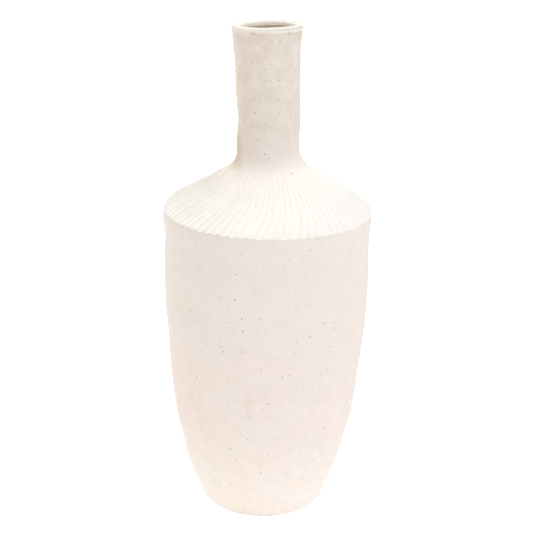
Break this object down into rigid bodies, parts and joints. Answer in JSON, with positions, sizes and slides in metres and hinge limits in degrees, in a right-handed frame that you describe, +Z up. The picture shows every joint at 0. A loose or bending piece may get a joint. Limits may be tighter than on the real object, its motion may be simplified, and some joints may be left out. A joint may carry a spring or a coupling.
{
  "type": "stoneware bottle vase",
  "caption": "Tall speckled off-white stoneware bottle vase with a carved conical shoulder, a slim neck and a rolled lip.",
  "frame": {"origin": "centre of the foot, on the surface the vase stands on", "axes": "+Z up along the axis of the vase; X and Y are alike, because the vase is round"},
  "size_m": [0.1276, 0.1276, 0.305],
  "materials": {
    "matte_stoneware": "dry matte off-white stoneware with sparse iron specks",
    "seam_clay": "bare fired clay",
    "lining_glaze": "semi-gloss dark iron-brown liner glaze"
  },
  "bodies": {
    "root": {"base_slab": "matte_stoneware", "floor_seam_coil": "seam_clay", "body_wall": "matte_stoneware", "shoulder_seam_coil": "seam_clay", "shoulder": "matte_stoneware", "neck": "matte_stoneware", "neck_fillet_coil": "matte_stoneware", "lip_coil": "matte_stoneware", "glaze_lining": "lining_glaze"}
  },
  "joints": []
}
